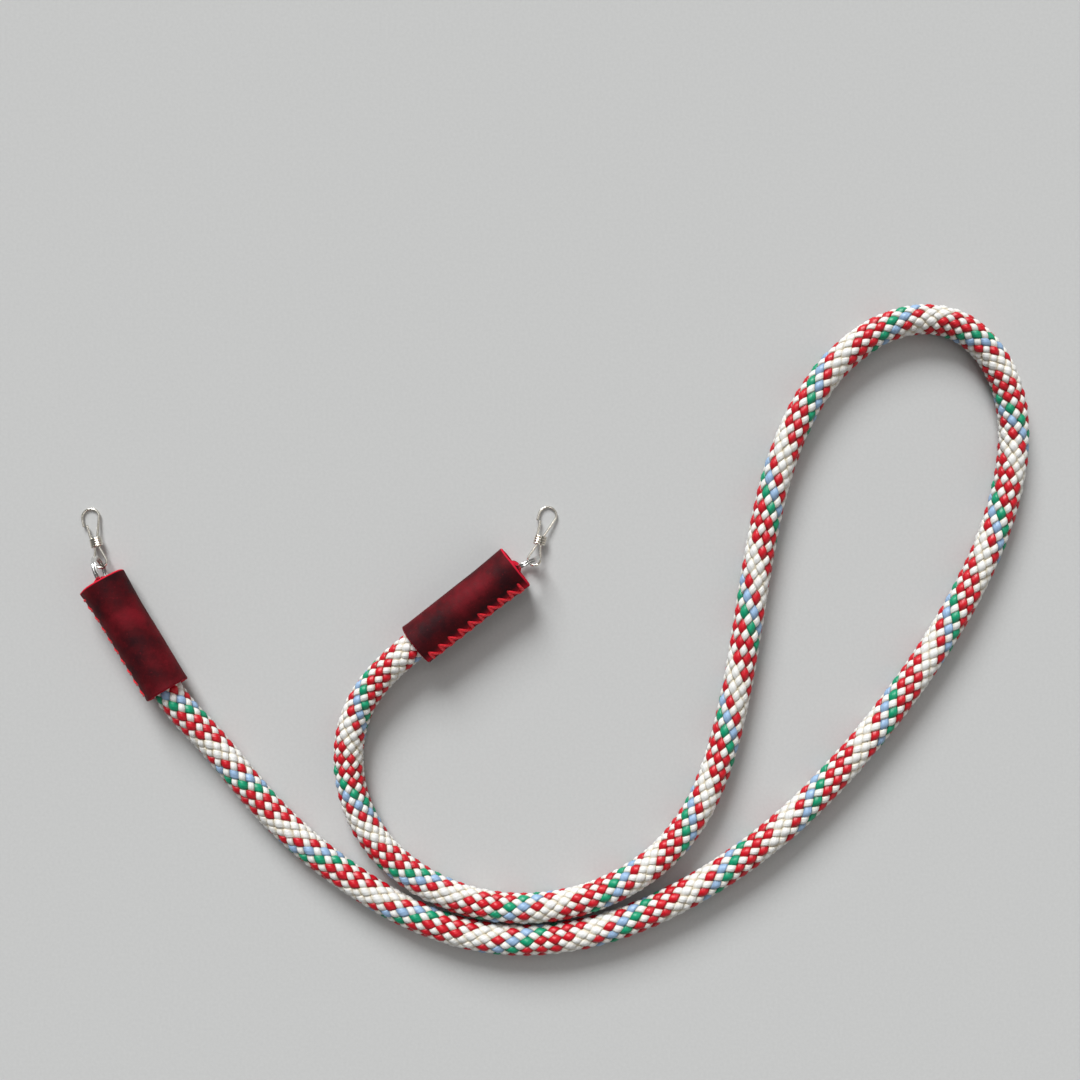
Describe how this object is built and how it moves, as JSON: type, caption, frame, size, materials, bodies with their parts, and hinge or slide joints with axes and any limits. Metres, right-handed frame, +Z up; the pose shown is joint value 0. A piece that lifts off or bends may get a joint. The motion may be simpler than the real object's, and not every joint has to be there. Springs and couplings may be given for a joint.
{
  "type": "rope camera strap",
  "caption": "Braided rope neck strap lying in an open loop, with stitched leather sleeves, split rings and wire snap hooks at its ends.",
  "frame": {"origin": "on the surface that the strap lies on, midway between the fittings at its two ends", "axes": "+Z up from the surface, +X from the left end's fittings to the right end's"},
  "size_m": [0.352, 0.2403, 0.0169],
  "materials": {
    "braid": "satin braided cord, ivory with red, green and lavender blue strands",
    "sleeve_leather": "mottled oxblood pull-up leather with bright red cut edges and red waxed stitching",
    "loop_leather": "oxblood leather strip with a red cut edge",
    "ring_steel": "bright nickel plate",
    "hook_wire": "bright nickel-plated spring wire"
  },
  "bodies": {
    "root": {"rope": "braid", "sleeve_left": "sleeve_leather", "sleeve_right": "sleeve_leather", "ring_loop_left": "loop_leather", "ring_loop_right": "loop_leather", "split_ring_left": "ring_steel", "split_ring_right": "ring_steel", "wire_hook_left": "hook_wire", "wire_hook_right": "hook_wire"}
  },
  "joints": []
}
